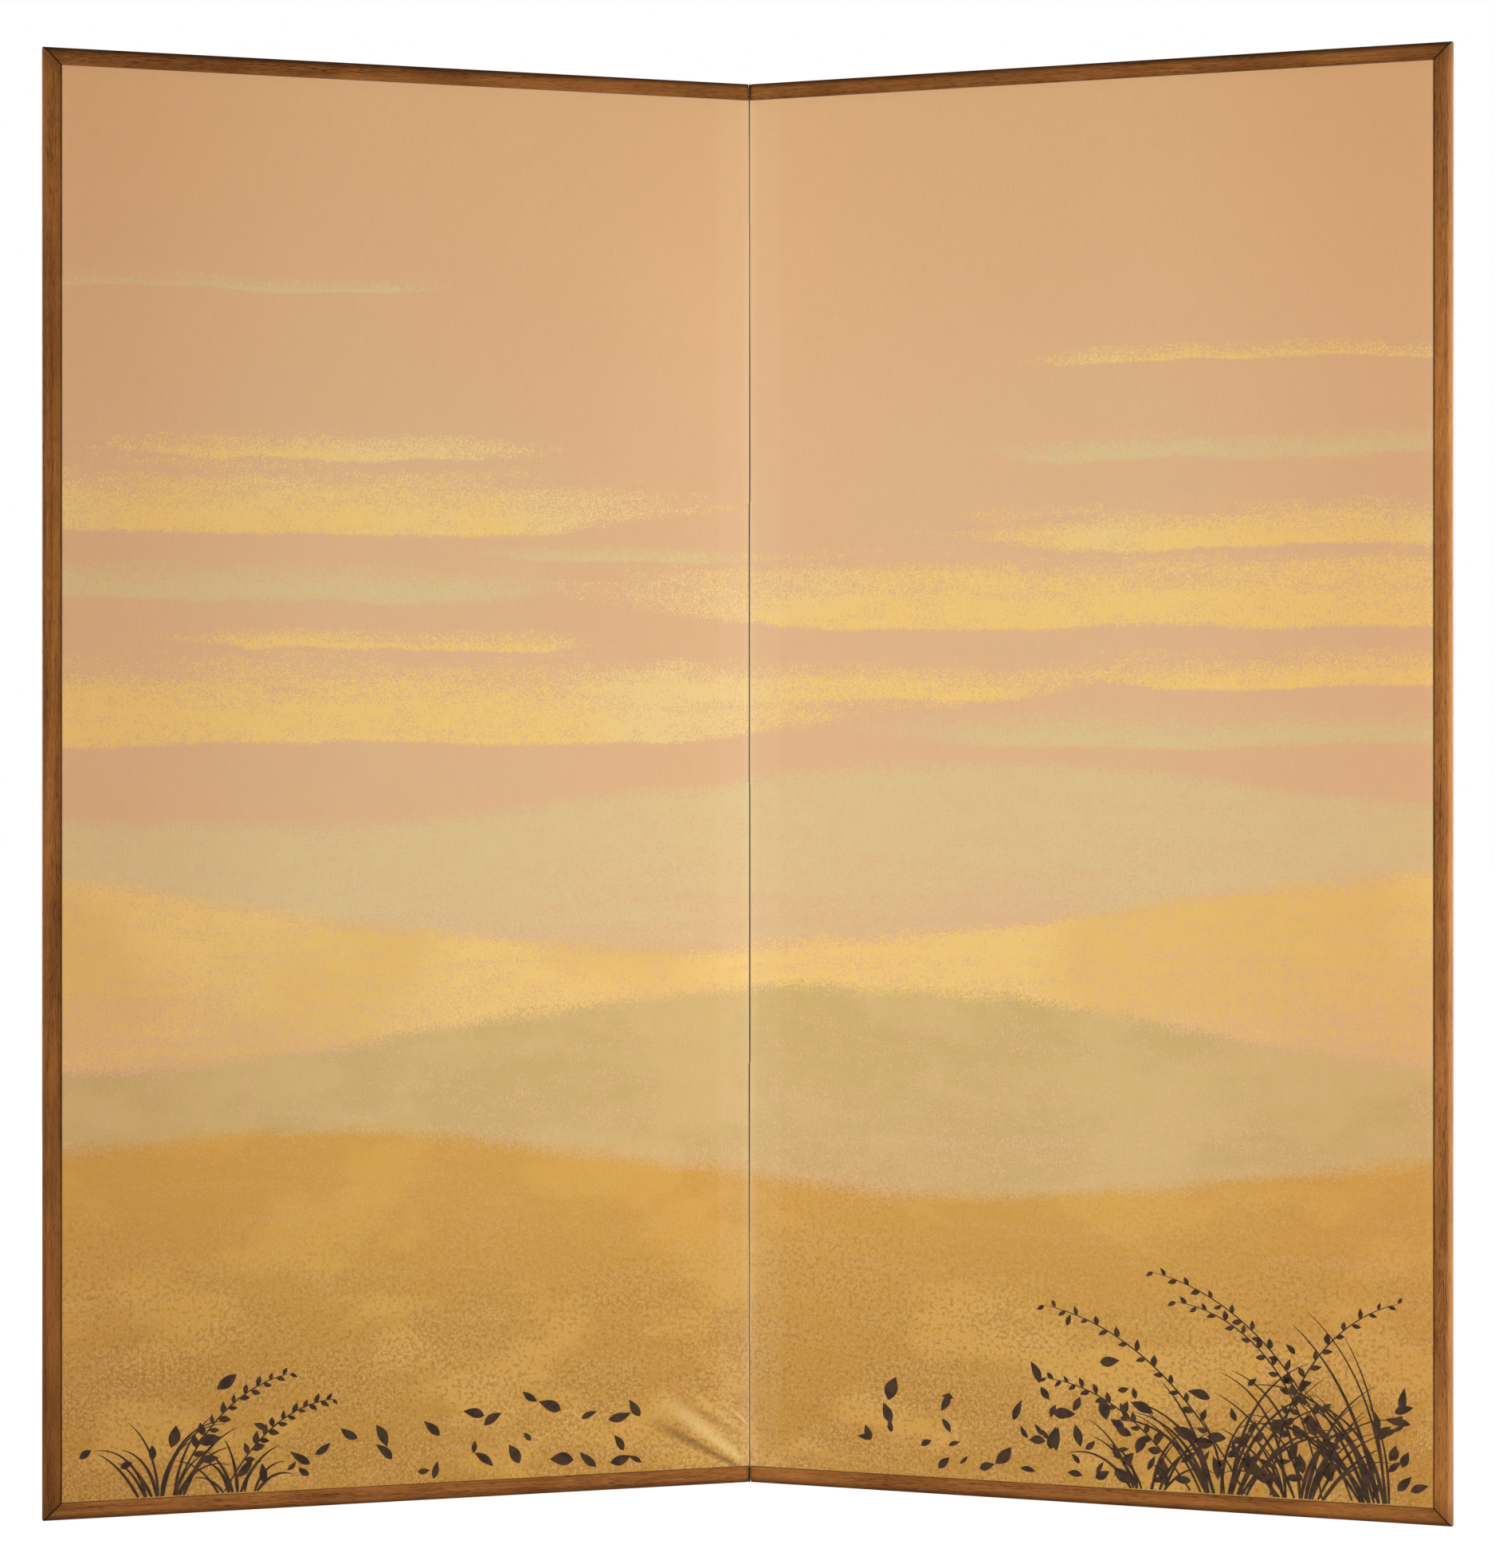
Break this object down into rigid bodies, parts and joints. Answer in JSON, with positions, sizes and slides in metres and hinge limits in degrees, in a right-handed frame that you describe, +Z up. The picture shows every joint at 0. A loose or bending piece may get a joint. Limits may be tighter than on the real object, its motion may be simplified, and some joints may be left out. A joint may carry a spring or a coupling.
{
  "type": "folding screen",
  "caption": "Standing folding screen of two framed paper panels on a lattice core, joined by folded paper hinges that let it fold flat either way.",
  "frame": {"origin": "centre of the screen's footprint on the floor, as it stands half open", "axes": "+X to the right as one faces the picture side, +Y from the picture side to the back, +Z up; the fold line is upright at the back of the V"},
  "size_m": [1.6258, 0.2802, 1.7],
  "materials": {
    "frame_wood": "brown stain, satin, open grain",
    "core_wood": "planed softwood, bare",
    "under_paper": "layered mulberry paper, matt",
    "picture_silk": "painted silk on paper, matt with a faint sheen",
    "back_paper": "block-printed mulberry paper, matt",
    "hinge_paper": "thick toned mulberry paper, matt",
    "bamboo": "smoked bamboo, satin"
  },
  "bodies": {
    "left_panel": {"left_frame_top_rail": "frame_wood", "left_frame_bottom_rail": "frame_wood", "left_frame_outer_stile": "frame_wood", "left_frame_nails": "bamboo", "left_core_inner_stile": "core_wood", "left_core_outer_stile": "core_wood", "left_core_top_rail": "core_wood", "left_core_bottom_rail": "core_wood", "left_core_upright_bars": "core_wood", "left_core_cross_bars": "core_wood", "left_core_corner_boards": "core_wood", "left_under_paper_front": "under_paper", "left_under_paper_back": "under_paper", "left_picture": "picture_silk", "left_back_paper": "back_paper", "hinge_1_front_flap": "hinge_paper", "hinge_2_back_flap": "hinge_paper", "hinge_3_front_flap": "hinge_paper", "hinge_4_back_flap": "hinge_paper", "hinge_5_front_flap": "hinge_paper", "hinge_6_back_flap": "hinge_paper"},
    "right_panel": {"right_frame_top_rail": "frame_wood", "right_frame_bottom_rail": "frame_wood", "right_frame_outer_stile": "frame_wood", "right_frame_nails": "bamboo", "right_core_inner_stile": "core_wood", "right_core_outer_stile": "core_wood", "right_core_top_rail": "core_wood", "right_core_bottom_rail": "core_wood", "right_core_upright_bars": "core_wood", "right_core_cross_bars": "core_wood", "right_core_corner_boards": "core_wood", "right_under_paper_front": "under_paper", "right_under_paper_back": "under_paper", "right_picture": "picture_silk", "right_back_paper": "back_paper", "hinge_1_back_flap": "hinge_paper", "hinge_2_front_flap": "hinge_paper", "hinge_3_back_flap": "hinge_paper", "hinge_4_front_flap": "hinge_paper", "hinge_5_back_flap": "hinge_paper", "hinge_6_front_flap": "hinge_paper"},
    "odd_hinge_webs": {"hinge_1_web": "hinge_paper", "hinge_3_web": "hinge_paper", "hinge_5_web": "hinge_paper"},
    "even_hinge_webs": {"hinge_2_web": "hinge_paper", "hinge_4_web": "hinge_paper", "hinge_6_web": "hinge_paper"}
  },
  "joints": [
    {"name": "front_fold", "type": "hinge", "parent": "odd_hinge_webs", "child": "left_panel", "pos_m": [0, 0.12069, 0], "axis": [0, 0, -1], "range_deg": [-144, 36]},
    {"name": "back_fold", "type": "hinge", "parent": "odd_hinge_webs", "child": "right_panel", "pos_m": [0.00627, 0.13999, 0], "axis": [0, 0, 1], "range_deg": [0, 180]},
    {"name": "front_fold_even", "type": "hinge", "parent": "right_panel", "child": "even_hinge_webs", "pos_m": [0, 0.12069, 0], "axis": [0, 0, -1], "range_deg": [-144, 36]}
  ],
  "couplings": [
    {"joint": "front_fold_even", "follows": "front_fold", "ratio": 1}
  ]
}
